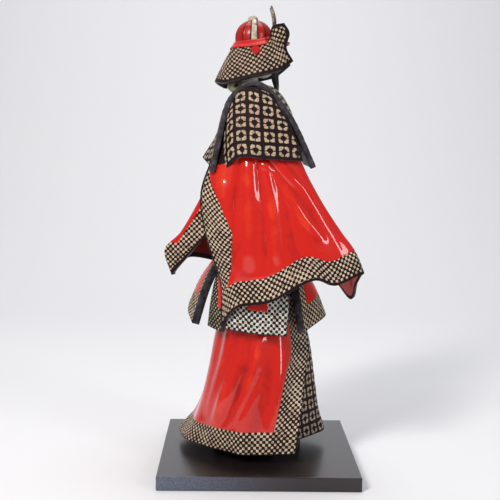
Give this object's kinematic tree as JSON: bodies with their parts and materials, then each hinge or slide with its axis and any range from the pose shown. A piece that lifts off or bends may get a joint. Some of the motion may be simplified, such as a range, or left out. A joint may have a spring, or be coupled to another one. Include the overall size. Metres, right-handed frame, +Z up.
{
  "type": "samurai sculpture",
  "caption": "Slab-built glazed ceramic samurai in a wide robe with bell sleeves, flared vest, helmet and horn crest, standing on a square board.",
  "frame": {"origin": "centre of the square board's underside", "axes": "+Z up; +X the way the samurai faces; +Y the samurai's left side, so the right side of the figure is towards -Y"},
  "size_m": [0.2565, 0.25, 0.594],
  "materials": {
    "red_glaze_ceramic": "glossy red raku glaze over the clay, with bands of cream and black impressed checks and dark smoke-fired clay edges",
    "dark_board": "dark brown-black satin lacquer"
  },
  "bodies": {
    "root": {"figure": "red_glaze_ceramic", "plinth": "dark_board"}
  },
  "joints": []
}
